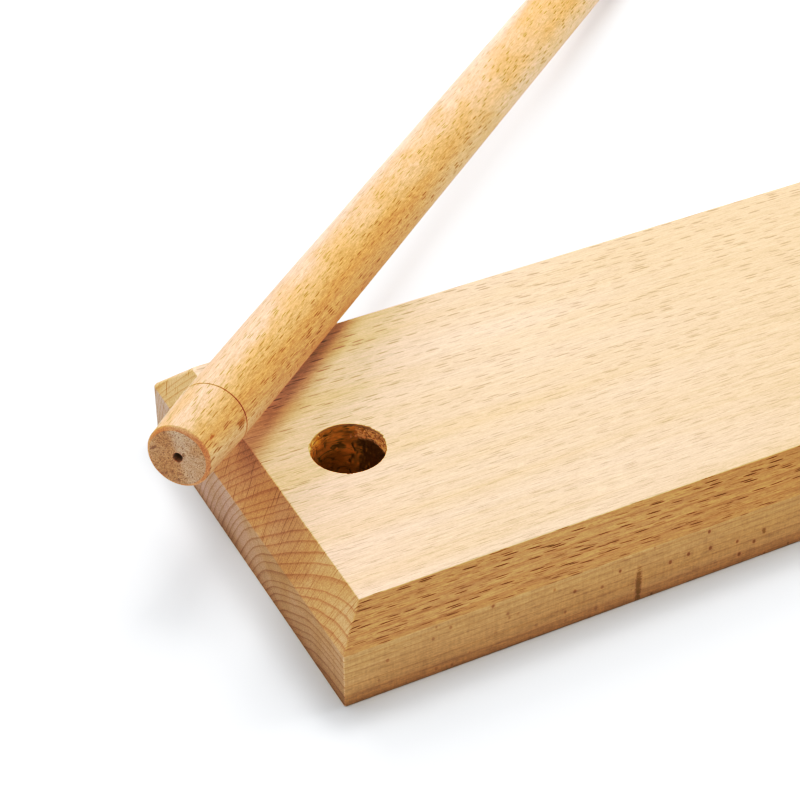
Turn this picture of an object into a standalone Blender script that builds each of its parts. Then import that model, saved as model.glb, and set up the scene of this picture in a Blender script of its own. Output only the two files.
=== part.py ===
"""A two-post tabletop loom in solid beech: a bevelled base board and two plug-in posts.

Lengths are in metres and +Z is up. The origin is the centre of the board's underside,
+X runs along the board and +Y points to its back. The right post stands in its socket.
The left post is out of its socket: it lies across the left end of the board, where it
bears on the back edge of the top, with its far end on the surface under the board.
"""
import math

import bmesh
import bpy
from mathutils import Vector

# Base board
BOARD_LENGTH = 0.500
BOARD_WIDTH = 0.125
SIDE_HEIGHT = 0.0176
BEVEL = 0.0089

# Sockets, one near each end of the board
SOCKET_FROM_END = 0.0325
SOCKET_BEHIND_CENTRE = 0.0013
SOCKET_CLEARANCE = 0.0004

# Posts
POST_RADIUS = 0.010
POST_LENGTH = 0.400
TENON_LENGTH = 0.0212
TENON_TAPER = 0.0008
END_CHAMFER = 0.00105
SCRIBE_WIDTH = 0.00035
SCRIBE_DEPTH = 0.00018
PILOT_RADIUS = 0.00135
PILOT_DEPTH = 0.009

# How the left post lies: its direction seen from above, how far from the board's left
# end it crosses the back edge of the top, and how much of it is in front of that edge
LYING_HEADING = math.radians(41.0)
LYING_CROSSING_FROM_END = 0.0457
LYING_FRONT_LENGTH = 0.0839

# Gap between pieces that touch
TOUCH_GAP = 0.0003

BORE_SEGMENTS = 80
POST_SEGMENTS = 80
DRILL_TIP_ANGLE = math.radians(118.0)
MERGE_DISTANCE = 1e-6

BOARD_HEIGHT = SIDE_HEIGHT + BEVEL
SOCKET_RADIUS = POST_RADIUS + SOCKET_CLEARANCE
SOCKET_DEPTH = TENON_LENGTH + TOUCH_GAP
SOCKET_X = BOARD_LENGTH / 2 - SOCKET_FROM_END


def clear_scene():
    for item in list(bpy.data.objects):
        bpy.data.objects.remove(item, do_unlink=True)


def beech(name, colour):
    material = bpy.data.materials.new(name)
    material.use_nodes = True
    shader = material.node_tree.nodes["Principled BSDF"]
    shader.inputs["Base Color"].default_value = (*colour, 1.0)
    shader.inputs["Roughness"].default_value = 0.55
    shader.inputs["Metallic"].default_value = 0.0
    return material


def object_from(mesh_builder, name, material=None):
    bmesh.ops.recalc_face_normals(mesh_builder, faces=mesh_builder.faces)
    mesh = bpy.data.meshes.new(name)
    mesh_builder.to_mesh(mesh)
    mesh_builder.free()
    piece = bpy.data.objects.new(name, mesh)
    bpy.context.scene.collection.objects.link(piece)
    if material:
        mesh.materials.append(material)
    return piece


def socket_cutter(name, centre_x):
    """A plug the size of one socket, standing a little proud of the board's top."""
    proud = SOCKET_RADIUS
    builder = bmesh.new()
    bmesh.ops.create_cone(builder, cap_ends=True, segments=BORE_SEGMENTS,
                          radius1=SOCKET_RADIUS, radius2=SOCKET_RADIUS,
                          depth=SOCKET_DEPTH + proud)
    cutter = object_from(builder, name)
    middle = BOARD_HEIGHT + (proud - SOCKET_DEPTH) / 2
    cutter.location = (centre_x, SOCKET_BEHIND_CENTRE, middle)
    cutter.hide_render = True
    cutter.display_type = "WIRE"
    return cutter


def corner_ring(builder, inset, height):
    """Four corners of the board's outline, pulled in by the inset, at a height."""
    half_length = BOARD_LENGTH / 2 - inset
    half_width = BOARD_WIDTH / 2 - inset
    signs = ((-1, -1), (1, -1), (1, 1), (-1, 1))
    return [builder.verts.new((sx * half_length, sy * half_width, height)) for sx, sy in signs]


def base_board():
    """The board: upright sides, a 45 degree bevel round the top, two blind sockets."""
    builder = bmesh.new()
    underside = corner_ring(builder, 0.0, 0.0)
    shoulder = corner_ring(builder, 0.0, SIDE_HEIGHT)
    top = corner_ring(builder, BEVEL, BOARD_HEIGHT)
    for lower, upper in ((underside, shoulder), (shoulder, top)):
        for near in range(4):
            far = (near + 1) % 4
            builder.faces.new((lower[near], lower[far], upper[far], upper[near]))
    builder.faces.new(underside)
    builder.faces.new(top)
    board = object_from(builder, "base_board", beech("beech_board", (0.78, 0.56, 0.31)))
    for side, centre_x in (("left", -SOCKET_X), ("right", SOCKET_X)):
        cut = board.modifiers.new(side + "_socket", "BOOLEAN")
        cut.operation = "DIFFERENCE"
        cut.solver = "EXACT"
        cut.object = socket_cutter(side + "_socket_cutter", centre_x)
    return board


def tenon_radius(height):
    """Radius of the slightly tapered tenon at a height above its end."""
    return POST_RADIUS - TENON_TAPER * (1.0 - height / TENON_LENGTH)


def post_profile():
    """Half section of a post as (radius, height), from the pilot hole to the far end."""
    tip = PILOT_RADIUS / math.tan(DRILL_TIP_ANGLE / 2)
    return [
        (0.0, PILOT_DEPTH + tip),
        (PILOT_RADIUS, PILOT_DEPTH),
        (PILOT_RADIUS, 0.0),
        (tenon_radius(0.0) - END_CHAMFER, 0.0),
        (tenon_radius(END_CHAMFER), END_CHAMFER),
        (tenon_radius(TENON_LENGTH - SCRIBE_WIDTH / 2), TENON_LENGTH - SCRIBE_WIDTH / 2),
        (POST_RADIUS - SCRIBE_DEPTH, TENON_LENGTH),
        (POST_RADIUS, TENON_LENGTH + SCRIBE_WIDTH / 2),
        (POST_RADIUS, POST_LENGTH - END_CHAMFER),
        (POST_RADIUS - END_CHAMFER, POST_LENGTH),
        (0.0, POST_LENGTH),
    ]


def post(name, colour):
    """A round post along its own +Z axis, with the end of its tenon at its origin."""
    builder = bmesh.new()
    points = [builder.verts.new((radius, 0.0, height)) for radius, height in post_profile()]
    edges = [builder.edges.new(pair) for pair in zip(points, points[1:])]
    bmesh.ops.spin(builder, geom=points + edges, cent=(0, 0, 0), axis=(0, 0, 1),
                   angle=math.tau, steps=POST_SEGMENTS)
    bmesh.ops.remove_doubles(builder, verts=builder.verts, dist=MERGE_DISTANCE)
    piece = object_from(builder, name, beech("beech_" + name, colour))
    piece.data.shade_smooth()
    piece.data.set_sharp_from_angle(angle=math.radians(30))
    return piece


def lying_tilt():
    """Downward slope of the lying post and the height of its axis over the back edge.

    The post touches the edge sideways on, so its axis is a little more than a radius
    above it. Its far rim is on the ground. Each pass of the loop refines the slope.
    """
    slope = 0.0
    behind = POST_LENGTH - END_CHAMFER - LYING_FRONT_LENGTH
    for _ in range(30):
        across = math.atan(math.tan(slope) / math.sin(LYING_HEADING))
        axis_height = BOARD_HEIGHT + TOUCH_GAP + POST_RADIUS / math.cos(across)
        slope = math.asin((axis_height - POST_RADIUS * math.cos(slope)) / behind)
    return slope, axis_height


def lay_across_board(piece):
    """Lay a post over the board's left end, tenon to the front, far end on the ground."""
    slope, axis_height = lying_tilt()
    level = math.cos(slope)
    direction = Vector((level * math.cos(LYING_HEADING), level * math.sin(LYING_HEADING),
                        -math.sin(slope)))
    crossing = Vector((LYING_CROSSING_FROM_END - BOARD_LENGTH / 2,
                       BOARD_WIDTH / 2 - BEVEL, axis_height))
    piece.location = crossing - direction * LYING_FRONT_LENGTH
    piece.rotation_euler = direction.to_track_quat("Z", "Y").to_euler()


def plug_in(piece, centre_x):
    """Stand a post in a socket, with its scribed line level with the board's top."""
    piece.location = (centre_x, SOCKET_BEHIND_CENTRE, BOARD_HEIGHT - TENON_LENGTH)


def main():
    clear_scene()
    base_board()
    lay_across_board(post("left_post", (0.72, 0.46, 0.20)))
    plug_in(post("right_post", (0.74, 0.49, 0.23)), SOCKET_X)


main()
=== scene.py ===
"""The looks of the two-post beech loom: detailed meshes, solid-wood materials, light and camera."""
import math

import bmesh
import bpy
from mathutils import Matrix, Vector, noise


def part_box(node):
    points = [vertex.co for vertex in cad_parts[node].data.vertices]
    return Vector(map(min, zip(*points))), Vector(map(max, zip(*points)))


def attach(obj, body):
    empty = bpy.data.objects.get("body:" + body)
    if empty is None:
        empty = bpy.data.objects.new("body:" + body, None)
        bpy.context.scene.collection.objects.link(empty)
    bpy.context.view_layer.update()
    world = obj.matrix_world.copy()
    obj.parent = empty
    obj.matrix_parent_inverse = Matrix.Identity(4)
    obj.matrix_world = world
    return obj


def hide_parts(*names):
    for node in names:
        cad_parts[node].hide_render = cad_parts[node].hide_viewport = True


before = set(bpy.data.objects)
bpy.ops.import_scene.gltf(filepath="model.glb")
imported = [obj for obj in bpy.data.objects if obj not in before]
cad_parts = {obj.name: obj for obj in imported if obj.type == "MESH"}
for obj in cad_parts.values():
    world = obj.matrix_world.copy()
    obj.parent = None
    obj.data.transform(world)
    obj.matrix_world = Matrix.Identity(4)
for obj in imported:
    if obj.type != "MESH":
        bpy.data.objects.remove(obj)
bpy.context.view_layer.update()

MM = 0.001

# The base board, in metres, as the frame gives it
BOARD_LOW, BOARD_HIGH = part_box("base_board")
BEVEL = 8.9 * MM
SHOULDER = BOARD_HIGH.z - BEVEL
SOCKET_RADIUS = 10.4 * MM
SOCKET_DEPTH = 21.5 * MM
SOCKET_FROM_END = 32.5 * MM
SOCKET_Y = 1.3 * MM

# The posts
POST_RADIUS = 10.0 * MM
POST_LENGTH = 400.0 * MM
TENON_LENGTH = 21.2 * MM
TENON_TAPER = 0.8 * MM
END_CHAMFER = 1.05 * MM
SCRIBE_HALF = 0.24 * MM
SCRIBE_DEPTH = 0.24 * MM
PILOT_RADIUS = 1.35 * MM
PILOT_DEPTH = 9.0 * MM
LYING_HEADING = math.radians(41.0)
LYING_CROSSING_FROM_END = 45.7 * MM
LYING_FRONT_LENGTH = 83.9 * MM
TOUCH_GAP = 0.3 * MM


def wobble(x, y, z, seed=0.0):
    """Smooth noise from about -1 to 1."""
    return noise.noise(Vector((x, y, z + 31.7 * seed)))


# ---------------------------------------------------------------- node graphs

class Graph:
    """Short forms for the shader nodes that the wood is made of."""

    def __init__(self, material):
        self.tree = material.node_tree
        self.nodes = self.tree.nodes
        self.column = 0

    def add(self, kind, **settings):
        node = self.nodes.new(kind)
        node.location = (self.column * 60, -(self.column % 7) * 170)
        self.column += 1
        for key, value in settings.items():
            setattr(node, key, value)
        return node

    def feed(self, socket, value):
        if isinstance(value, bpy.types.NodeSocket):
            self.tree.links.new(value, socket)
        elif value is not None:
            socket.default_value = value

    def math(self, operation, a, b=None, c=None, clamp=False):
        node = self.add("ShaderNodeMath", operation=operation, use_clamp=clamp)
        for socket, value in zip(node.inputs, (a, b, c)):
            self.feed(socket, value)
        return node.outputs[0]

    def vector(self, operation, a, b=None):
        node = self.add("ShaderNodeVectorMath", operation=operation)
        self.feed(node.inputs[0], a)
        self.feed(node.inputs[1], b)
        return node.outputs["Value" if operation in ("DOT_PRODUCT", "LENGTH") else "Vector"]

    def split(self, value):
        node = self.add("ShaderNodeSeparateXYZ")
        self.feed(node.inputs[0], value)
        return node.outputs

    def join(self, x, y, z):
        node = self.add("ShaderNodeCombineXYZ")
        for socket, value in zip(node.inputs, (x, y, z)):
            self.feed(socket, value)
        return node.outputs[0]

    def step(self, value, low, high, out_low=0.0, out_high=1.0):
        node = self.add("ShaderNodeMapRange", interpolation_type="SMOOTHSTEP", clamp=True)
        for socket, item in zip(node.inputs, (value, low, high, out_low, out_high)):
            self.feed(socket, item)
        return node.outputs[0]

    def noise(self, place, scale, detail=2.0, rough=0.5):
        """Noise over millimetres; scale is (x, y, z) features per millimetre."""
        node = self.add("ShaderNodeTexNoise", noise_dimensions="3D")
        self.feed(node.inputs["Vector"], self.vector("MULTIPLY", place, scale))
        node.inputs["Scale"].default_value = 1.0
        node.inputs["Detail"].default_value = detail
        node.inputs["Roughness"].default_value = rough
        return node.outputs

    def cells(self, place, scale, jitter):
        """Distance to the nearest of many scattered centres, and that centre's own random value."""
        node = self.add("ShaderNodeTexVoronoi", voronoi_dimensions="3D", feature="F1")
        self.feed(node.inputs["Vector"], self.vector("MULTIPLY", place, scale))
        node.inputs["Scale"].default_value = 1.0
        node.inputs["Randomness"].default_value = jitter
        return node.outputs["Distance"], self.split(node.outputs["Color"])[0]

    def mix(self, factor, a, b, blend="MIX"):
        node = self.add("ShaderNodeMix", data_type="RGBA", blend_type=blend, clamp_factor=True)
        self.feed(node.inputs[0], factor)
        self.feed(node.inputs[6], a)
        self.feed(node.inputs[7], b)
        return node.outputs[2]

    def bump(self, shader, height, strength, depth_mm):
        node = self.add("ShaderNodeBump")
        node.inputs["Strength"].default_value = strength
        node.inputs["Distance"].default_value = depth_mm * MM
        self.feed(node.inputs["Height"], height)
        self.feed(shader.inputs["Normal"], node.outputs["Normal"])


# ---------------------------------------------------------------- beech

WHITE = (1.0, 1.0, 1.0, 1.0)
# raw sanded wood reflects very little off its surface
MATT_SHINE = 0.10
BOARD_AXES = (Vector((1, 0, 0)), Vector((0, 1, 0)), Vector((0, 0, 1)))
# where the centre of the log lies beside the board, across and up, in mm
BOARD_PITH = (-62.0, -41.0)
# brown flecks on the front edge: middle and reach, in mm
BOARD_STAINS = (((-163.3, -62.5, 5.5), (1.0, 3.0, 7.0)), ((-124.0, -62.5, 9.0), (0.7, 3.0, 1.2)))
# how much further along and out each row of rays lies than the row beside it, in rays
ROW_LEAD = 0.38
ROW_RISE = 0.27
# what darkens or warms the wood, as a share of its own colour
LATE_WOOD_TONE = (0.66, 0.56, 0.44, 1.0)
BROWN_SPOT_TONE = (0.56, 0.38, 0.22, 1.0)
STAIN_TONE = (0.57, 0.50, 0.28, 1.0)
# how much darker the sides grow towards the bottom
LOW_DARK_TONE = (0.93, 0.87, 0.74, 1.0)
# painted light on the level top near the left end
END_TOP_LIGHT_TONE = (1.08, 1.06, 1.10, 1.0)
# painted light on the end grain towards the back
BACK_END_LIGHT_TONE = (1.03, 1.10, 1.38, 1.0)
# painted highlight on the crests of the edges and corners, with some pale wear
EDGE_WEAR_AND_HIGHLIGHT_TONE = (1.32, 1.32, 1.32, 1.0)


def in_log(g, place, pith):
    """Where a point lies in its log, in mm.

    Gives (way round, along, outward) as one vector, then y and z from the pith, then the radius.
    """
    drift = g.vector("SUBTRACT", g.noise(place, (0.006, 0.03, 0.03), 1.0)["Color"], (0.5, 0.5, 0.5))
    drift = g.vector("MULTIPLY", drift, (0.0, 5.0, 5.0))
    shiver = g.vector("SUBTRACT", g.noise(place, (0.05, 0.2, 0.2), 1.0)["Color"], (0.5, 0.5, 0.5))
    shiver = g.vector("MULTIPLY", shiver, (0.0, 0.45, 0.45))
    x, y, z = g.split(g.vector("ADD", g.vector("ADD", place, drift), shiver))
    from_y = g.math("SUBTRACT", y, pith[0])
    from_z = g.math("SUBTRACT", z, pith[1])
    squared = g.math("ADD", g.math("MULTIPLY", from_y, from_y), g.math("MULTIPLY", from_z, from_z))
    radius = g.math("SQRT", squared)
    way_round = g.math("MULTIPLY", g.math("ARCTAN2", from_y, from_z), math.hypot(*pith))
    return g.join(way_round, x, radius), from_y, from_z, radius


def late_wood(g, radius, ring_gap):
    """Growth rings: each darkens slowly towards its late wood, then starts again pale."""
    uneven = g.math("MULTIPLY", g.noise(g.join(radius, 0.0, 0.0), (0.13, 1, 1), 2.0)["Fac"], 2.6)
    phase = g.math("FRACT", g.math("ADD", g.math("DIVIDE", radius, ring_gap), uneven))
    line = g.math("MULTIPLY", g.step(phase, 0.70, 0.94), g.step(phase, 1.0, 0.95))
    shade = g.math("MULTIPLY", g.math("POWER", phase, 2.5), g.step(phase, 1.0, 0.93))
    return g.math("ADD", g.math("MULTIPLY", line, 0.62), g.math("MULTIPLY", shade, 0.38))


def shaded(g, colour, tone, share=1.0):
    """The colour multiplied by a tone, by a share of its surface from 0 to 1."""
    return g.mix(share, colour, g.mix(1.0, colour, tone, "MULTIPLY"))


def less(g, value, mask, cut):
    """The value, lowered by a cut from 0 to 1 where the mask is 1."""
    return g.math("MULTIPLY", value, g.math("SUBTRACT", 1.0, g.math("MULTIPLY", mask, cut)))


def staggered_rays(g, wood, ray_size):
    """Places among the medullary rays, one unit per ray; each row starts a little further along."""
    gap, length, depth = ray_size
    rows, lengths, outward = g.split(g.vector("MULTIPLY", wood, (1 / gap, 1 / length, 1 / depth)))
    lengths = g.math("ADD", lengths, g.math("MULTIPLY", rows, ROW_LEAD))
    return g.join(rows, lengths, g.math("ADD", outward, g.math("MULTIPLY", rows, ROW_RISE)))


def torn_fibres(g, colour, place, torn):
    """A sawn end left rough: matted fibres, pale and dark, with a few scorched patches."""
    mat = g.noise(place, (0.9, 1.5, 3.4), 4.0, 0.72)["Fac"]
    blotch = g.noise(g.vector("ADD", place, (0.0, 40.0, 0.0)), (0.3, 0.28, 0.55), 2.0, 0.6)["Fac"]
    colour = g.mix(g.math("MULTIPLY", g.step(mat, 0.49, 0.36), g.math("MULTIPLY", torn, 0.50)),
                   colour, (0.20, 0.10, 0.05, 1.0))
    colour = g.mix(g.math("MULTIPLY", g.step(mat, 0.53, 0.68), g.math("MULTIPLY", torn, 0.55)),
                   colour, (0.80, 0.62, 0.44, 1.0))
    colour = g.mix(g.math("MULTIPLY", g.step(blotch, 0.60, 0.70), g.math("MULTIPLY", torn, 0.45)),
                   colour, (0.20, 0.10, 0.045, 1.0))
    return colour, g.math("MULTIPLY", mat, g.math("MULTIPLY", torn, 3.2))


def beech(name, pith, axes, pale, tan, ray_dark, ray_pale, end_tone, ring_gap=2.3,
          ray_size=(0.62, 8.5, 15.0), ring_share=0.45, level_rings=1.0, end_rings=0.9, rays=0.85,
          level_rays=1.0, end_rays=0.35, patches=0.15, fine=1.0, side_shade_tone=WHITE, bevel_shade_tone=WHITE,
          slant_light_tone=WHITE, floor_bounce_tone=WHITE, warmer=None, lit_end_top=None, lit_back_end=None,
          darker_below=0.0, torn_end=0.0, stains=()):
    """Solid beech, cut from a log whose centre runs along the grain at pith = (y, z), in mm.

    The wood's own colour comes from the log and not from the surface: growth rings round the pith,
    medullary rays standing out from it as thin upright lenses, long fibres and slow bands
    of tone. So each face shows what its cut would show: dashes on a flat-sawn face, level
    lines, flecks and brown spots on a quarter-sawn edge, and arched rings crossed by rays
    on an end. Over that lie painted shade and light set by which way a face looks, a
    painted highlight with some pale wear on the crests of the edges, and a darkening
    towards the bottom. axes are the piece's grain, side and third directions. ray_size is
    the gap between rays, their length and their depth. warmer is a stretch along the grain
    over which the tone changes. Two more stretches, one along the grain and one across it,
    are where painted light lightens the level top near the end and the back of the end.
    All are in mm.
    """
    material = bpy.data.materials.new(name)
    material.use_nodes = True
    g = Graph(material)
    shader = g.nodes["Principled BSDF"]
    place = g.add("ShaderNodeAttribute", attribute_name="grain").outputs["Vector"]
    edge = g.add("ShaderNodeAttribute", attribute_name="edge").outputs["Fac"]
    groove = g.add("ShaderNodeAttribute", attribute_name="groove").outputs["Fac"]
    wood, from_y, from_z, radius = in_log(g, place, pith)

    # which way the face was cut: across the grain, level, or in line with the rays
    normal = g.add("ShaderNodeTexCoord").outputs["Normal"]
    along = g.math("ABSOLUTE", g.vector("DOT_PRODUCT", normal, axes[0]))
    end = g.step(along, 0.80, 0.98)
    slant = g.step(along, 0.35, 0.70)
    upward = g.vector("DOT_PRODUCT", normal, (0.0, 0.0, 1.0))
    level = g.step(upward, 0.80, 0.97)
    facing_round = g.math("SUBTRACT",
                          g.math("MULTIPLY", g.vector("DOT_PRODUCT", normal, axes[1]), from_z),
                          g.math("MULTIPLY", g.vector("DOT_PRODUCT", normal, axes[2]), from_y))
    in_line = g.math("ABSOLUTE", g.math("DIVIDE", facing_round, radius))
    quarter = g.step(in_line, 0.90, 0.99)

    # tone: slow bands, softer patches and long streaks
    fibre = g.noise(place, (0.16, 3.4, 3.4), 3.0, 0.62)["Fac"]
    grit = g.noise(place, (1.1, 2.6, 2.6), 3.0, 0.68)["Fac"]
    streak = g.noise(place, (0.012, 0.5, 0.5), 2.0, 0.55)["Fac"]
    band = g.noise(place, (0.004, 0.06, 0.06), 2.0, 0.5)["Fac"]
    patch = g.noise(place, (0.05, 0.14, 0.14), 2.0, 0.5)["Fac"]
    colour = g.mix(g.step(band, 0.32, 0.70), pale, tan)
    colour = g.mix(g.math("MULTIPLY", g.step(patch, 0.42, 0.66), patches), colour, tan)
    colour = g.mix(g.math("MULTIPLY", g.step(streak, 0.48, 0.75), 0.25), colour, tan)
    if warmer:
        redder = g.step(g.split(place)[0], *warmer)
        colour = g.mix(g.math("MULTIPLY", redder, 0.9), colour, tan)

    # growth rings
    late = late_wood(g, radius, ring_gap)
    level_cut = g.math("MULTIPLY", level, ring_share * (1.0 - level_rings))
    face_share = g.math("SUBTRACT", ring_share, level_cut)
    share = g.math("ADD", face_share, g.math("MULTIPLY", slant, end_rings - ring_share))
    colour = shaded(g, colour, g.mix(late, WHITE, LATE_WOOD_TONE), share)

    # painted shade and light by which way a face looks, then the end grain's own tone
    # painted shade: upright sides and bevels darker and warmer than the level top
    face_shade_tone = g.mix(g.step(upward, 0.25, 0.55), side_shade_tone, bevel_shade_tone)
    colour = g.mix(1.0, colour, g.mix(level, face_shade_tone, WHITE), "MULTIPLY")
    # painted light on the flanks, standing in for light thrown up off the floor
    floor_bounce = g.math("MULTIPLY", g.step(in_line, 0.45, 0.98), g.math("SUBTRACT", 1.0, slant))
    colour = shaded(g, colour, floor_bounce_tone, floor_bounce)
    # painted light: slanted faces lighter and bluer
    colour = shaded(g, colour, slant_light_tone, g.math("SUBTRACT", slant, end))
    colour = shaded(g, colour, end_tone, end)
    # painted light: the level top lighter towards the left end
    if lit_end_top:
        share = g.math("MULTIPLY", g.step(g.split(place)[0], *lit_end_top), level)
        colour = shaded(g, colour, END_TOP_LIGHT_TONE, share)
    # painted light: the end grain lighter and bluer towards the back
    if lit_back_end:
        share = g.math("MULTIPLY", g.step(g.split(place)[1], *lit_back_end), end)
        colour = shaded(g, colour, BACK_END_LIGHT_TONE, share)

    # fine grain
    hair = g.noise(place, (0.045, 2.4, 2.4), 3.0, 0.65)["Fac"]
    grainy = g.math("MULTIPLY", g.step(fibre, 0.28, 0.72, 1.0 - 0.09 * fine, 1.0 + 0.06 * fine),
                    g.step(grit, 0.32, 0.68, 1.0 - 0.06 * fine, 1.0 + 0.04 * fine))
    hairs = g.step(hair, 0.30, 0.66, 1.0 - 0.08 * fine, 1.0 + 0.04 * fine)
    hairs = g.math("ADD", less(g, g.math("SUBTRACT", hairs, 1.0), quarter, 0.7), 1.0)
    grainy = g.math("MULTIPLY", grainy, hairs)
    colour = g.mix(1.0, colour, g.join(grainy, grainy, grainy), "MULTIPLY")

    # medullary rays, large and small
    staggered = staggered_rays(g, wood, ray_size)
    size, chance = g.cells(staggered, (1.0, 1.0, 1.0), 0.80)
    ray = g.math("MULTIPLY", g.step(size, 0.33, 0.22), g.step(chance, 0.0, 0.85, 0.20, 1.0))
    size, chance = g.cells(staggered, (1.7, 1.6, 2.2), 0.95)
    small_ray = g.math("MULTIPLY", g.step(size, 0.30, 0.18), g.step(chance, 0.1, 0.9))
    ray_share = g.math("SUBTRACT", rays, g.math("MULTIPLY", slant, rays - end_rays))
    for mask, cut in ((end, 0.55), (quarter, 0.90), (level, 1.0 - level_rays)):
        ray_share = less(g, ray_share, mask, cut)
    ray_tone = g.mix(level, ray_dark, ray_pale)
    colour = g.mix(g.math("MULTIPLY", g.math("MULTIPLY", small_ray, ray_share), 0.60), colour, ray_tone)
    colour = g.mix(g.math("MULTIPLY", ray, ray_share), colour, ray_tone)

    # quarter-sawn faces: a fine upright fleck, and a few brown spots where a thick ray surfaces
    side_face = g.math("MULTIPLY", quarter, g.math("SUBTRACT", 1.0, slant))
    fleck = g.noise(wood, (0.5, 1.7, 0.30), 2.0, 0.6)["Fac"]
    flecked = g.step(fleck, 0.36, 0.66, 0.955, 1.025)
    colour = shaded(g, colour, g.join(flecked, flecked, flecked), side_face)
    size, chance = g.cells(wood, (1 / 8.0, 1 / 13.0, 1 / 16.0), 1.0)
    spot = g.math("MULTIPLY", g.step(size, 0.095, 0.055), g.step(chance, 0.35, 0.7))
    size, chance = g.cells(wood, (1 / 4.0, 1 / 3.2, 1 / 4.0), 1.0)
    speck = g.math("MULTIPLY", g.step(size, 0.21, 0.09), g.step(chance, 0.45, 0.95, 0.0, 0.85))
    brown = g.math("MULTIPLY", g.math("MAXIMUM", spot, speck), side_face)
    colour = shaded(g, colour, BROWN_SPOT_TONE, g.math("MULTIPLY", brown, 0.9))

    # darker towards the bottom of the sides, and stains with ragged edges
    if darker_below:
        low = g.step(g.split(place)[2], darker_below, 0.0)
        not_under = g.step(upward, -0.9, -0.4)
        colour = shaded(g, colour, LOW_DARK_TONE, g.math("MULTIPLY", low, not_under))
    for spot_place, spot_shape in stains:
        away = g.vector("MULTIPLY", g.vector("SUBTRACT", place, spot_place),
                        [1.0 / reach for reach in spot_shape])
        ragged = g.math("ADD", g.vector("LENGTH", away), g.step(grit, 0.3, 0.7, 0.4, -0.4))
        stain = g.step(ragged, 1.15, 0.45)
        colour = shaded(g, colour, STAIN_TONE, g.math("MULTIPLY", stain, 0.85))

    # open pores where the wood is cut across
    size, chance = g.cells(place, (1.1, 3.1, 3.1), 1.0)
    pore = g.math("MULTIPLY", g.step(size, 0.42, 0.15), g.step(chance, 0.35, 0.9))
    colour = g.mix(g.math("MULTIPLY", pore, g.math("MULTIPLY", end, 0.35)), colour, ray_dark)
    height = g.math("MULTIPLY", fibre, 0.55)
    if torn_end:
        colour, matted = torn_fibres(g, colour, place, g.math("MULTIPLY", end, torn_end))
        height = g.math("ADD", height, matted)

    # painted highlight along the crests of the edges and upright corners, with some pale wear
    colour = shaded(g, colour, EDGE_WEAR_AND_HIGHLIGHT_TONE, g.math("MULTIPLY", edge, 0.55))
    # darker at the bottom of the scribed line, and painted shade in the pilot hole
    colour = g.mix(g.math("MULTIPLY", groove, 0.68), colour, (0.17, 0.105, 0.040, 1.0))
    g.feed(shader.inputs["Base Color"], colour)

    rough = g.math("ADD", g.math("MULTIPLY", end, 0.22), g.step(fibre, 0.3, 0.7, 0.50, 0.62))
    g.feed(shader.inputs["Roughness"], g.math("SUBTRACT", rough, g.math("MULTIPLY", ray, 0.10)))
    shader.inputs["Specular IOR Level"].default_value = MATT_SHINE

    height = g.math("ADD", height, g.math("MULTIPLY", grit, 0.25))
    height = g.math("SUBTRACT", height, g.math("MULTIPLY", g.math("MULTIPLY", ray, ray_share), 0.45))
    height = g.math("SUBTRACT", height, g.math("MULTIPLY", g.math("MULTIPLY", pore, end), 1.2))
    g.bump(shader, height, 0.60, 0.10)
    return material


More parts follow.
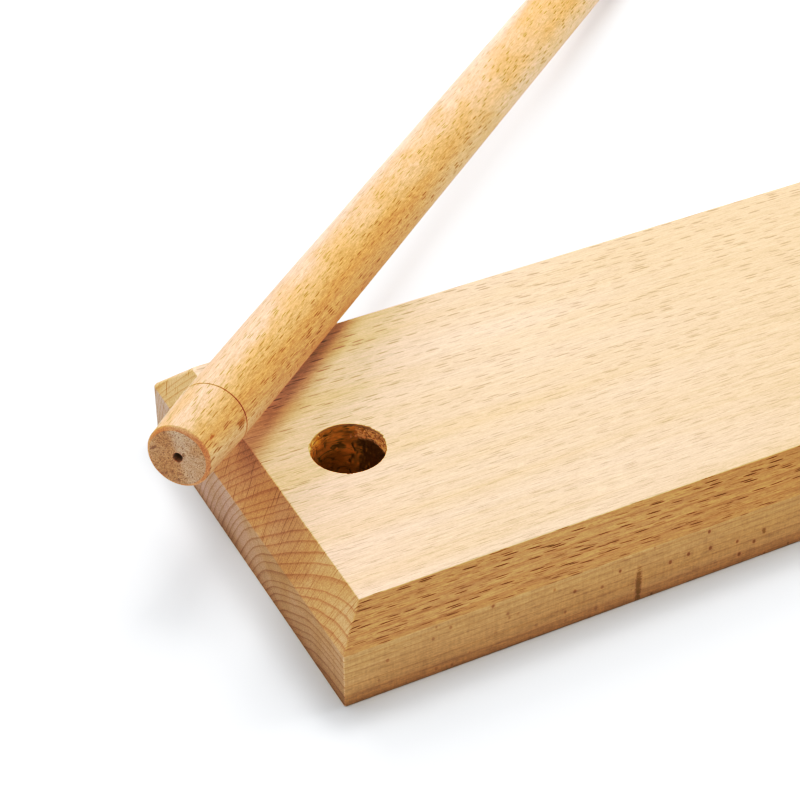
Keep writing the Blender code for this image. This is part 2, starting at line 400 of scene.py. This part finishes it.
def bored_wood(name):
    """The inside of a drilled socket: scorched and streaked brown, torn on its end-grain walls, with
    painted light just under the rim and painted shade below it and deeper down.
    """
    material = bpy.data.materials.new(name)
    material.use_nodes = True
    g = Graph(material)
    shader = g.nodes["Principled BSDF"]
    place = g.add("ShaderNodeAttribute", attribute_name="grain").outputs["Vector"]
    normal = g.add("ShaderNodeTexCoord").outputs["Normal"]
    end = g.step(g.math("ABSOLUTE", g.vector("DOT_PRODUCT", normal, (1.0, 0.0, 0.0))), 0.45, 0.85)
    deep_shade = g.step(g.split(place)[2], BOARD_HIGH.z / MM - 2.0, BOARD_HIGH.z / MM - 16.0)

    wave = g.noise(place, (0.055, 0.055, 0.20), 3.0, 0.50)["Fac"]
    scorch = g.step(g.math("ABSOLUTE", g.math("SUBTRACT", wave, 0.5)), 0.022, 0.004)
    scorched = g.step(g.noise(place, (0.2, 0.2, 0.2), 2.0)["Fac"], 0.40, 0.55)
    scorch = g.math("MULTIPLY", scorch, scorched)
    thread = g.noise(g.vector("ADD", place, (60.0, 0.0, 0.0)), (0.11, 0.11, 0.62), 3.0, 0.55)["Fac"]
    thin_scorch = g.step(g.math("ABSOLUTE", g.math("SUBTRACT", thread, 0.5)), 0.016, 0.003)
    cloud = g.noise(place, (0.12, 0.12, 0.28), 3.0, 0.6)["Fac"]
    torn = g.noise(place, (0.8, 0.8, 1.3), 4.0, 0.7)["Fac"]

    colour = g.mix(g.step(cloud, 0.38, 0.62), (0.80, 0.50, 0.095, 1.0), (0.56, 0.29, 0.045, 1.0))
    # painted light and shadow on the end-grain walls: torn tufts lit in a band just under the rim, and
    # below it the painted shadow of the rim
    lit_tufts = g.mix(g.step(torn, 0.38, 0.56), (0.52, 0.29, 0.075, 1.0), (0.95, 0.75, 0.40, 1.0))
    rim_shadow = g.mix(g.step(torn, 0.35, 0.65), (0.15, 0.055, 0.012, 1.0), (0.24, 0.10, 0.022, 1.0))
    ragged_line = g.math("ADD", g.split(place)[2], g.step(cloud, 0.3, 0.7, -1.6, 1.6))
    lit_band = g.step(ragged_line, BOARD_HIGH.z / MM - 5.2, BOARD_HIGH.z / MM - 3.6)
    colour = g.mix(end, colour, g.mix(lit_band, rim_shadow, lit_tufts))
    colour = g.mix(g.math("MULTIPLY", thin_scorch, 0.38), colour, (0.20, 0.075, 0.018, 1.0))
    colour = g.mix(g.math("MULTIPLY", scorch, 0.65), colour, (0.10, 0.032, 0.008, 1.0))
    lip = g.step(g.split(place)[2], BOARD_HIGH.z / MM - 0.9, BOARD_HIGH.z / MM - 0.3)
    colour = g.mix(g.math("MULTIPLY", lip, 0.75), colour, (0.50, 0.34, 0.19, 1.0))
    # painted shade: the walls paler near the top of the socket and darker and warmer towards its floor
    deep_shade_tone = g.mix(deep_shade, (1.10, 1.13, 1.18, 1.0), (1.02, 0.86, 0.64, 1.0))
    colour = g.mix(1.0, colour, deep_shade_tone, "MULTIPLY")
    g.feed(shader.inputs["Base Color"], colour)
    shader.inputs["Roughness"].default_value = 0.72
    shader.inputs["Specular IOR Level"].default_value = MATT_SHINE
    height = g.math("ADD", g.math("MULTIPLY", torn, 2.0), g.math("MULTIPLY", thread, 1.2))
    height = g.math("SUBTRACT", height, g.math("MULTIPLY", scorch, 0.8))
    g.bump(shader, height, 0.8, 0.16)
    return material


# its side and bevel tones are painted shade; its slant tone and the stretches near the left end and at
# the back of the end are painted light
board_wood = beech("board_beech", BOARD_PITH, BOARD_AXES, pale=(0.690, 0.505, 0.338, 1.0),
                   tan=(0.630, 0.443, 0.255, 1.0), ray_dark=(0.175, 0.092, 0.001, 1.0),
                   ray_pale=(0.28, 0.165, 0.125, 1.0), end_tone=(0.88, 0.91, 1.04, 1.0),
                   side_shade_tone=(0.98, 0.93, 0.84, 1.0), bevel_shade_tone=(0.835, 0.74, 0.62, 1.0),
                   slant_light_tone=(1.09, 1.10, 1.23, 1.0), ray_size=(0.37, 7.6, 15.0), rays=1.0,
                   level_rays=0.70, level_rings=0.25, end_rays=0.54, ring_share=0.35,
                   end_rings=0.66, fine=1.25, warmer=(-165.0, -70.0), lit_end_top=(-196.0, -238.0),
                   lit_back_end=(-30.0, 30.0), darker_below=5.5, stains=BOARD_STAINS)
socket_wood = bored_wood("bored_beech")


# ---------------------------------------------------------------- mesh helpers

def new_object(name, mesh, material):
    piece = bpy.data.objects.new(name, mesh)
    bpy.context.scene.collection.objects.link(piece)
    if material:
        mesh.materials.append(material)
    return piece


def smooth(mesh, degrees=32.0):
    mesh.shade_smooth()
    mesh.set_sharp_from_angle(angle=math.radians(degrees))


def store_grain(mesh, to_log):
    """Give each vertex its place in the log, in millimetres, for the wood to be read from."""
    layer = mesh.attributes.new("grain", "FLOAT_VECTOR", "POINT")
    for index, vertex in enumerate(mesh.vertices):
        layer.data[index].vector = to_log(vertex.co) / MM


def store_mark(mesh, name, values):
    layer = mesh.attributes.new(name, "FLOAT", "POINT")
    layer.data.foreach_set("value", values)


# ---------------------------------------------------------------- base board

# the board's three bends from underside to top
UNDERSIDE_EDGE, SHOULDER_EDGE, TOP_EDGE = range(3)
EDGE_STEP = 4.0 * MM
EDGE_WAVER = 0.10 * MM
# how strong the painted highlight is on the long edges against the upright corners, and how narrow it is
# on those corners
LONG_CREST = 0.6
CORNER_CREST_FALL = 1.6
CORNER_STEPS = 6
# how round each upright corner was sanded: front left, front right, back right, back left
CORNER_ROUNDING = (0.55 * MM, 0.8 * MM, 1.0 * MM, 1.7 * MM)
EDGE_STEPS = 6
FLAT_MARGIN = 0.06 * MM
UNDERSIDE_ROUNDING = 0.45 * MM
SHOULDER_ROUNDING = 1.0 * MM
TOP_ROUNDING = 0.9 * MM


def rounded_bend(corner, before, after, radius):
    """Points of the section round a bend, each with how near it is to the crest, from 0 to 1.

    A narrow flat margin on each side keeps the broad faces evenly shaded.
    """
    turn = before.angle_signed(after)
    start = corner - before * radius * math.tan(turn / 2)
    centre = start + Vector((before.y, -before.x)) * radius
    points = [(start - before * FLAT_MARGIN, 0.0)]
    for step in range(EDGE_STEPS + 1):
        share = step / EDGE_STEPS
        arm = Matrix.Rotation(-turn * share, 2) @ (start - centre)
        points.append((centre + arm, 1.0 - abs(2.0 * share - 1.0)))
    points.append((points[-1][0] + after * FLAT_MARGIN, 0.0))
    return points


def board_section():
    """Half section of the board from underside to top: (inset, height), crest, which edge."""
    inward, upright, sloping = Vector((1, 0)), Vector((0, 1)), Vector((1, 1)).normalized()
    bends = [(Vector((0.0, BOARD_LOW.z)), -inward, upright, UNDERSIDE_ROUNDING),
             (Vector((0.0, SHOULDER)), upright, sloping, SHOULDER_ROUNDING),
             (Vector((BEVEL, BOARD_HIGH.z)), sloping, inward, TOP_ROUNDING)]
    section = []
    for edge, bend in enumerate(bends):
        section += [(spot, crest, edge) for spot, crest in rounded_bend(*bend)]
    return section


def outline(inset, height, edge):
    """Points round the board at one height, wavering a little like hand-sanded edges.

    Each comes with how near it is to the crest of an upright corner, from 0 to 1.
    """
    half_x = BOARD_HIGH.x - inset
    half_y = BOARD_HIGH.y - inset
    signs = ((-1, -1), (1, -1), (1, 1), (-1, 1))
    corners = [Vector((half_x * right, half_y * back)) for right, back in signs]
    points = []
    ridges = []
    for index, corner in enumerate(corners):
        rounding = CORNER_ROUNDING[index]
        centre = corner - Vector(signs[index]) * rounding
        for step in range(CORNER_STEPS + 1):
            angle = math.radians(180 + 90 * index + 90 * step / CORNER_STEPS)
            points.append(centre + Vector((math.cos(angle), math.sin(angle))) * rounding)
            off_crest = abs(2.0 * step / CORNER_STEPS - 1.0) * CORNER_CREST_FALL
            ridges.append(max(0.0, 1.0 - off_crest) * (edge != UNDERSIDE_EDGE))
        start = points[-1]
        following = corners[(index + 1) % 4]
        side = (following - corner).normalized()
        length = (following - side * CORNER_ROUNDING[(index + 1) % 4] - start).length
        # the same count on every level, so that the levels join one to one
        count = round(2 * (BOARD_HIGH.x if index % 2 == 0 else BOARD_HIGH.y) / EDGE_STEP)
        inside = Vector((-side.y, side.x))
        for place in range(1, count):
            share = place / count
            spot = start + side * length * share
            ease = min(1.0, 6.0 * share, 6.0 * (1.0 - share))
            shake = wobble(spot.x * 45, spot.y * 45, 7.0 * edge) * ease
            shake += 0.6 * wobble(spot.x * 190, spot.y * 190, 7.0 * edge, 3) * ease
            points.append(spot + inside * abs(shake) * EDGE_WAVER * (edge == TOP_EDGE))
            ridges.append(0.0)
    lowered = EDGE_WAVER if edge == SHOULDER_EDGE else 0.0
    sinks = [lowered * abs(wobble(point.x * 60, point.y * 60, 3.0)) for point in points]
    return [Vector((point.x, point.y, height - sink)) for point, sink in zip(points, sinks)], ridges


def board_body():
    """The board without its sockets: four upright sides, a bevel all round, softened edges.

    Also gives how near each vertex of the shoulder and the top edge is to a crest, where the edge
    highlight is painted.
    """
    builder = bmesh.new()
    rings = []
    crests = {}
    for spot, crest, edge in board_section():
        points, ridges = outline(spot.x, spot.y, edge)
        ring = [builder.verts.new(point) for point in points]
        rings.append(ring)
        if edge != UNDERSIDE_EDGE:
            for vertex, ridge in zip(ring, ridges):
                crests[tuple(vertex.co)] = max(crest * LONG_CREST, ridge)
    count = len(rings[0])
    for lower, upper in zip(rings, rings[1:]):
        for near in range(count):
            far = (near + 1) % count
            builder.faces.new((lower[near], lower[far], upper[far], upper[near]))
    builder.faces.new(list(reversed(rings[0])))
    builder.faces.new(rings[-1])
    bmesh.ops.recalc_face_normals(builder, faces=builder.faces)
    mesh = bpy.data.meshes.new("board")
    builder.to_mesh(mesh)
    builder.free()
    return new_object("board", mesh, board_wood), crests


SOCKET_SEGMENTS = 240
# depths of the rings of vertices near the rim, then the step down the wall, in mm
RIM_DEPTHS = [0.0, 0.08, 0.16, 0.26, 0.38, 0.55, 0.8, 1.2, 1.7]
WALL_STEP = 0.55
FLOOR_SHARES = (0.8, 0.6, 0.4, 0.25, 0.12)
# how far the cutter stands proud of the top, in mm
CUTTER_PROUD = 2.0
# where the drill tore the rim: the middle of each spot and how badly
RAGGED_SPOTS = ((math.radians(-112), 0.55), (math.radians(8), 1.0), (math.radians(36), 0.55),
                (math.radians(150), 0.5))
SPOT_WIDTH = math.radians(13)


def raggedness(angle):
    """How torn the rim is at an angle, from 0 for a clean cut."""
    worst = 0.0
    for middle, share in RAGGED_SPOTS:
        off = math.remainder(angle - middle, math.tau) / SPOT_WIDTH
        worst = max(worst, share * math.exp(-off * off))
    return worst


def socket_reach(angle, depth, seed):
    """Radius of a drilled socket, in mm, at a depth under the board's top.

    The drill cuts clean where the fibres run along the wall and tears them where they meet
    it end on, which leaves pits there and chips at a few spots of the rim.
    """
    across = abs(math.cos(angle))
    radius = SOCKET_RADIUS / MM
    cx, cy = math.cos(angle) * radius, math.sin(angle) * radius
    torn = 0.10 + 0.90 * across ** 2
    pits = max(0.0, wobble(cx * 0.7, cy * 0.7, depth * 0.9, seed)) * 0.70 * torn
    fuzz = wobble(cx * 2.6, cy * 2.6, depth * 2.0, seed + 1) * 0.16 * torn
    grooves = wobble(cx * 0.22, cy * 1.4, depth * 1.9, seed + 2) * 0.16 * (1.0 - across)
    crack = max(0.0, 0.09 - abs(wobble(cx * 0.14, cy * 0.30, depth * 0.34, seed + 5))) * 6.0
    ragged = raggedness(angle + 0.5 * (seed - 1))
    rim = math.exp(-depth / 0.14) * 0.14
    chip = max(0.0, wobble(cx * 2.2, cy * 3.0, 0.0, seed + 3) + 0.35) * 0.75
    chip += max(0.0, wobble(cx * 6.0, cy * 8.0, 0.0, seed + 4)) * 0.5
    chip *= math.exp(-depth / 0.55) * ragged
    inward = min(0.12, 0.12 * depth)
    body = pits + fuzz * min(1.0, depth / 0.5) + grooves * min(1.0, depth / 0.3)
    body += crack * (1.0 - 0.5 * across) * min(1.0, depth / 1.5)
    return radius + rim + chip + max(-inward, body * min(1.0, 0.15 + depth / 0.8))


def socket_cutter(name, centre_x, seed):
    """What the drill took out, rough wall and all, standing a little proud of the top."""
    depth_end = SOCKET_DEPTH / MM
    depths = [-CUTTER_PROUD] + RIM_DEPTHS
    while depths[-1] + WALL_STEP < depth_end - 0.2:
        depths.append(depths[-1] + WALL_STEP)
    depths.append(depth_end)
    builder = bmesh.new()
    rings = []
    for depth in depths:
        ring = []
        for index in range(SOCKET_SEGMENTS):
            angle = math.tau * index / SOCKET_SEGMENTS
            reach = socket_reach(angle, max(0.0, depth), seed) * MM
            ring.append(builder.verts.new((centre_x + reach * math.cos(angle),
                                           SOCKET_Y + reach * math.sin(angle),
                                           BOARD_HIGH.z - depth * MM)))
        rings.append(ring)
    floor_rings = []
    for share in FLOOR_SHARES:
        ring = []
        for index in range(SOCKET_SEGMENTS):
            angle = math.tau * index / SOCKET_SEGMENTS
            reach = SOCKET_RADIUS * share
            spin = 0.05 * math.sin(reach / MM * 5.0)
            sink = 0.10 * wobble(reach * 900 * math.cos(angle), reach * 900 * math.sin(angle), 1.0, seed)
            ring.append(builder.verts.new((centre_x + reach * math.cos(angle),
                                           SOCKET_Y + reach * math.sin(angle),
                                           BOARD_HIGH.z - (depth_end - 0.1 + spin + sink) * MM)))
        floor_rings.append(ring)
    for upper, lower in zip(rings + floor_rings, (rings + floor_rings)[1:]):
        for near in range(SOCKET_SEGMENTS):
            far = (near + 1) % SOCKET_SEGMENTS
            builder.faces.new((upper[near], upper[far], lower[far], lower[near]))
    builder.faces.new(rings[0])
    builder.faces.new(floor_rings[-1])
    bmesh.ops.recalc_face_normals(builder, faces=builder.faces)
    mesh = bpy.data.meshes.new(name)
    builder.to_mesh(mesh)
    builder.free()
    return new_object(name, mesh, socket_wood)


def sharpen_rims(mesh):
    """Keep the top's shading flat right up to the socket rims, chipped spots included."""
    builder = bmesh.new()
    builder.from_mesh(mesh)
    for edge in builder.edges:
        if len({face.material_index for face in edge.link_faces}) > 1:
            edge.smooth = False
    builder.to_mesh(mesh)
    builder.free()


def make_board():
    body, crests = board_body()
    cutters = [socket_cutter("left_cutter", BOARD_LOW.x + SOCKET_FROM_END, 1),
               socket_cutter("right_cutter", BOARD_HIGH.x - SOCKET_FROM_END, 2)]
    for cutter in cutters:
        cut = body.modifiers.new(cutter.name, "BOOLEAN")
        cut.operation = "DIFFERENCE"
        cut.solver = "EXACT"
        cut.material_mode = "TRANSFER"
        cut.object = cutter
    bpy.context.view_layer.update()
    cut_body = body.evaluated_get(bpy.context.evaluated_depsgraph_get())
    mesh = bpy.data.meshes.new_from_object(cut_body)
    body.modifiers.clear()
    body.data = mesh
    for cutter in cutters:
        bpy.data.objects.remove(cutter, do_unlink=True)
    smooth(mesh, 40.0)
    sharpen_rims(mesh)
    store_grain(mesh, lambda spot: spot)
    # how near each vertex is to a crest, for the painted edge highlight
    store_mark(mesh, "edge", [crests.get(tuple(vertex.co), 0.0) for vertex in mesh.vertices])
    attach(body, "base")
    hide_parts("base_board")
    return body


# ---------------------------------------------------------------- posts

POST_SEGMENTS = 144
# how far the worn chamfer of the tenon swells beyond a straight cut
CHAMFER_BULGE = 0.06 * MM


def spread(start, end, count):
    """Places after start, up to and with end, evenly spaced."""
    return [start + (end - start) * (step + 1) / count for step in range(count)]


def tenon_radius(height):
    return POST_RADIUS - TENON_TAPER * (1.0 - height / TENON_LENGTH)


def post_stations():
    """The post's half section as (radius, height, end roughness), from pilot hole to far end."""
    stations = [(PILOT_RADIUS * 0.55, PILOT_DEPTH + 0.5 * MM, 0.0)]
    stations += [(PILOT_RADIUS, height, 0.0) for height in spread(PILOT_DEPTH, 0.35 * MM, 5)]
    stations += [(PILOT_RADIUS * 1.05, 0.12 * MM, 0.4)]
    inner = tenon_radius(0.0) - END_CHAMFER
    stations += [(radius, 0.0, 1.0) for radius in spread(PILOT_RADIUS * 1.08, inner - 0.15 * MM, 22)]
    for share in (0.0, 0.08, 0.25, 0.45, 0.65, 0.85, 1.0):
        bulge = CHAMFER_BULGE * math.sin(math.pi * share)
        stations.append((inner + (tenon_radius(END_CHAMFER) - inner) * share + bulge,
                         END_CHAMFER * share - bulge, 0.35 * (1.0 - share)))
    for height in spread(END_CHAMFER * 1.15, TENON_LENGTH - 2.2 * SCRIBE_HALF, 26):
        stations.append((tenon_radius(height), height, 0.0))
    for offset, depth in ((-1.6, -0.03), (-1.0, -0.02), (-0.4, 0.75), (0.0, 1.0), (0.4, 0.75),
                          (1.0, -0.02), (1.7, -0.02), (2.6, 0.0)):
        stations.append((POST_RADIUS - depth * SCRIBE_DEPTH,
                         TENON_LENGTH + offset * SCRIBE_HALF, 0.0))
    far = POST_LENGTH - END_CHAMFER
    stations += [(POST_RADIUS, height, 0.0) for height in spread(TENON_LENGTH + 1.0 * MM, far, 66)]
    for share in (0.15, 0.5, 0.85, 1.0):
        stations.append((POST_RADIUS - END_CHAMFER * share, far + END_CHAMFER * share, 0.2 * share))
    last = POST_RADIUS - END_CHAMFER
    stations += [(radius, POST_LENGTH, -0.7) for radius in spread(last, 0.5 * MM, 16)]
    return stations


def groove_darkness(radius, height):
    """How dark a ring of the post is: full at the bottom of the scribed line, and a painted shade of 0.6
    in the pilot hole.
    """
    if abs(height - TENON_LENGTH) < 0.5 * SCRIBE_HALF:
        return 1.0
    if radius < PILOT_RADIUS * 1.02 and height > 1.0 * MM:
        return 0.6
    return 0.0


def make_post(name, body, foot, direction, side, pith, seed, slope, stains=()):
    """A turned post: foot is the end of its tenon, direction runs up it, side is towards angle 0.

    slope is how far its grain runs out of line with its length, in radians. stains are
    brown spots: a place up the post, to its side and its third way, and a shape, in mm.
    """
    up = direction.normalized()
    side = (side - up * side.dot(up)).normalized()
    third = up.cross(side)
    builder = bmesh.new()
    rings = []
    ring_darkness = []
    for radius, height, rough in post_stations():
        ring = []
        ring_darkness += [groove_darkness(radius, height)] * POST_SEGMENTS
        for index in range(POST_SEGMENTS):
            angle = math.tau * index / POST_SEGMENTS
            cos, sin = math.cos(angle), math.sin(angle)
            reach = radius
            if radius > POST_RADIUS * 0.85 and not rough:
                reach -= abs(wobble(cos * 0.7, sin * 0.7, height * 28, seed)) * 0.09 * MM
                reach -= abs(wobble(cos * 3.0, sin * 3.0, height * 240, seed + 1)) * 0.035 * MM
            sink = 0.0
            if rough:
                px, py = radius / MM * cos, radius / MM * sin
                pitted = abs(wobble(px * 1.1, py * 1.1, 0.0, seed + 2)) * 0.16
                pitted += abs(wobble(px * 3.0, py * 3.0, 0.0, seed + 3)) * 0.12
                sink = pitted * rough * MM
            spot = foot + up * (height + sink) + (side * cos + third * sin) * reach
            ring.append(builder.verts.new(spot))
        rings.append(ring)
    for lower, upper in zip(rings, rings[1:]):
        for near in range(POST_SEGMENTS):
            far = (near + 1) % POST_SEGMENTS
            builder.faces.new((lower[near], lower[far], upper[far], upper[near]))
    builder.faces.new(rings[0])
    builder.faces.new(rings[-1])
    bmesh.ops.recalc_face_normals(builder, faces=builder.faces)
    mesh = bpy.data.meshes.new(name)
    builder.to_mesh(mesh)
    builder.free()
    smooth(mesh, 28.0)
    to_axes = Matrix((up, side, third))
    lean = Matrix.Rotation(slope, 3, "Z")
    lie = lean @ to_axes
    store_grain(mesh, lambda spot: lie @ (spot - foot))
    store_mark(mesh, "groove", ring_darkness)
    stains = [(lean @ Vector(middle), shape) for middle, shape in stains]
    material = beech(name + "_beech", pith, (up, side, third), stains=stains, **POST_LOOK)
    piece = new_object(name, mesh, material)
    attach(piece, body)
    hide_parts(name.replace("turned_", ""))
    return piece


def lying_axis():
    """(foot, direction) of the lying post, which rests on the board's back top edge.

    It touches the edge sideways on, so its axis is a little more than a radius above it,
    and its far rim is on the ground. Each pass of the loop refines the slope.
    """
    slope = 0.0
    behind = POST_LENGTH - END_CHAMFER - LYING_FRONT_LENGTH
    for _ in range(30):
        across = math.atan(math.tan(slope) / math.sin(LYING_HEADING))
        axis_height = BOARD_HIGH.z + TOUCH_GAP + POST_RADIUS / math.cos(across)
        slope = math.asin((axis_height - POST_RADIUS * math.cos(slope)) / behind)
    direction = Vector((math.cos(slope) * math.cos(LYING_HEADING),
                        math.cos(slope) * math.sin(LYING_HEADING), -math.sin(slope)))
    crossing = Vector((BOARD_LOW.x + LYING_CROSSING_FROM_END, BOARD_HIGH.y - BEVEL, axis_height))
    return crossing - direction * LYING_FRONT_LENGTH, direction


# what every post is made of, with the painted light on its flanks and chamfers; only the place in the
# log, the slope and the stains differ
POST_LOOK = dict(pale=(0.690, 0.425, 0.254, 1.0), tan=(0.580, 0.297, 0.135, 1.0),
                 ray_dark=(0.20, 0.130, 0.030, 1.0), ray_pale=(0.20, 0.130, 0.030, 1.0),
                 end_tone=(1.08, 1.36, 1.80, 1.0), slant_light_tone=(1.12, 1.10, 1.18, 1.0),
                 floor_bounce_tone=(1.08, 1.32, 1.66, 1.0), ring_gap=2.1, ray_size=(0.40, 5.6, 12.0),
                 rays=0.84, ring_share=0.14, end_rings=0.25, end_rays=0.10, patches=0.5,
                 fine=1.8, torn_end=1.0)


# ---------------------------------------------------------------- stage

FLOOR_HALF = 15.0
FLOOR_GAP = 0.05 * MM
FLOOR_COLOUR = (0.800, 0.825, 0.852, 1.0)
# distances from the middle at which the floor starts to glow and glows in full
GLOW_START = 0.7
GLOW_FULL = 2.0
ROOM_LIGHT = 0.02
LAMP_AIM = Vector((-0.18, 0.0, 0.02))
LAMP_REACH = 1.6
LAMP_SIZE = 0.9
# each lamp's bearing from the back, clockwise, and rise, in degrees, and its power in watts
LAMPS = {
    "back_low": (0, 30, 22.0),
    "back_right_high": (45, 60, 16.8),
    "right_low": (90, 30, 16.2),
    "front_right_low": (140, 20, 3.0),
    "front_left_low": (225, 30, 3.0),
    "front_left_high": (235, 65, 4.6),
    "back_left_low": (315, 30, 5.3),
}
# how bright each amount of light is printed
TONE_POINTS = ((0.15, 0.077), (0.25, 0.205), (0.36, 0.395), (0.43, 0.50), (0.70, 0.755), (0.915, 0.945))
CAMERA_AIM_X = -195.53 * MM
CAMERA_AIM_Y = 13.52 * MM
CAMERA_DISTANCE = 699.22 * MM
CAMERA_BEARING = math.radians(180.0 + 26.597)
CAMERA_RISE = math.radians(38.469)
CAMERA_ROLL = math.radians(-0.454)
CAMERA_LENS_MM = 113.64


def bearing_vector(bearing, rise):
    """The unit vector towards a bearing, clockwise from the back, and a rise above the ground."""
    return Vector((math.sin(bearing) * math.cos(rise), math.cos(bearing) * math.cos(rise),
                   math.sin(rise)))


def make_floor():
    builder = bmesh.new()
    bmesh.ops.create_grid(builder, x_segments=8, y_segments=8, size=FLOOR_HALF)
    mesh = bpy.data.meshes.new("floor")
    builder.to_mesh(mesh)
    builder.free()
    material = bpy.data.materials.new("white_floor")
    material.use_nodes = True
    shader = material.node_tree.nodes["Principled BSDF"]
    shader.inputs["Base Color"].default_value = FLOOR_COLOUR
    # the lamps light only the middle of the floor, so further out it glows
    g = Graph(material)
    place = g.add("ShaderNodeTexCoord").outputs["Object"]
    away = g.vector("LENGTH", place)
    shader.inputs["Emission Color"].default_value = WHITE
    g.feed(shader.inputs["Emission Strength"], g.step(away, GLOW_START, GLOW_FULL))
    shader.inputs["Roughness"].default_value = 0.9
    shader.inputs["Specular IOR Level"].default_value = MATT_SHINE
    floor = new_object("floor", mesh, material)
    floor.location.z = BOARD_LOW.z - FLOOR_GAP


def area_light(name, place, aim, power):
    data = bpy.data.lights.new(name, "AREA")
    data.shape = "SQUARE"
    data.size = LAMP_SIZE
    data.energy = power
    lamp = bpy.data.objects.new(name, data)
    bpy.context.scene.collection.objects.link(lamp)
    lamp.location = place
    lamp.rotation_euler = (aim - place).to_track_quat("-Z", "Y").to_euler()


def make_light():
    """Large soft lamps, mostly behind the loom and to its right, in a dark room."""
    world = bpy.data.worlds.new("studio")
    bpy.context.scene.world = world
    world.use_nodes = True
    background = world.node_tree.nodes["Background"]
    background.inputs["Color"].default_value = WHITE
    background.inputs["Strength"].default_value = ROOM_LIGHT
    for name, (bearing, rise, power) in LAMPS.items():
        offset = bearing_vector(math.radians(bearing), math.radians(rise)) * LAMP_REACH
        area_light(name, LAMP_AIM + offset, LAMP_AIM, power)


def set_tones():
    """A contrasty print: middle tones steep, highlights held back."""
    view = bpy.context.scene.view_settings
    view.view_transform = "Standard"
    view.use_curve_mapping = True
    curve = view.curve_mapping.curves[3]
    for light, tone in TONE_POINTS:
        curve.points.new(light, tone)
    view.curve_mapping.update()


def make_camera():
    """The camera looks down at the left end of the board from the front left."""
    aim = Vector((CAMERA_AIM_X, CAMERA_AIM_Y, BOARD_HIGH.z))
    forward = -bearing_vector(CAMERA_BEARING, CAMERA_RISE)
    data = bpy.data.cameras.new("camera")
    data.sensor_width = 36.0
    data.lens = CAMERA_LENS_MM
    data.clip_start = 0.05
    data.clip_end = 20.0
    camera = bpy.data.objects.new("camera", data)
    bpy.context.scene.collection.objects.link(camera)
    turn = forward.to_track_quat("-Z", "Y").to_matrix() @ Matrix.Rotation(CAMERA_ROLL, 3, "Z")
    camera.matrix_world = Matrix.Translation(aim - forward * CAMERA_DISTANCE) @ turn.to_4x4()
    bpy.context.scene.camera = camera


make_board()
foot, direction = lying_axis()
make_post("turned_left_post", "left_post", foot, direction, Vector((0.367, -0.305, 0.879)),
          pith=(-58.0, 15.0), seed=5, slope=math.radians(5.0),
          stains=(((18.4, 6.6, 7.5), (2.4, 1.3, 1.0)), ((5.0, 8.6, 4.0), (1.6, 0.8, 0.5))))
foot = Vector((BOARD_HIGH.x - SOCKET_FROM_END, SOCKET_Y, BOARD_HIGH.z - TENON_LENGTH))
make_post("turned_right_post", "right_post", foot, Vector((0.0, 0.0, 1.0)), Vector((-0.5, -1.0, 0.0)),
          pith=(-70.0, 25.0), seed=9, slope=math.radians(-1.5))
make_floor()
make_light()
make_camera()
set_tones()
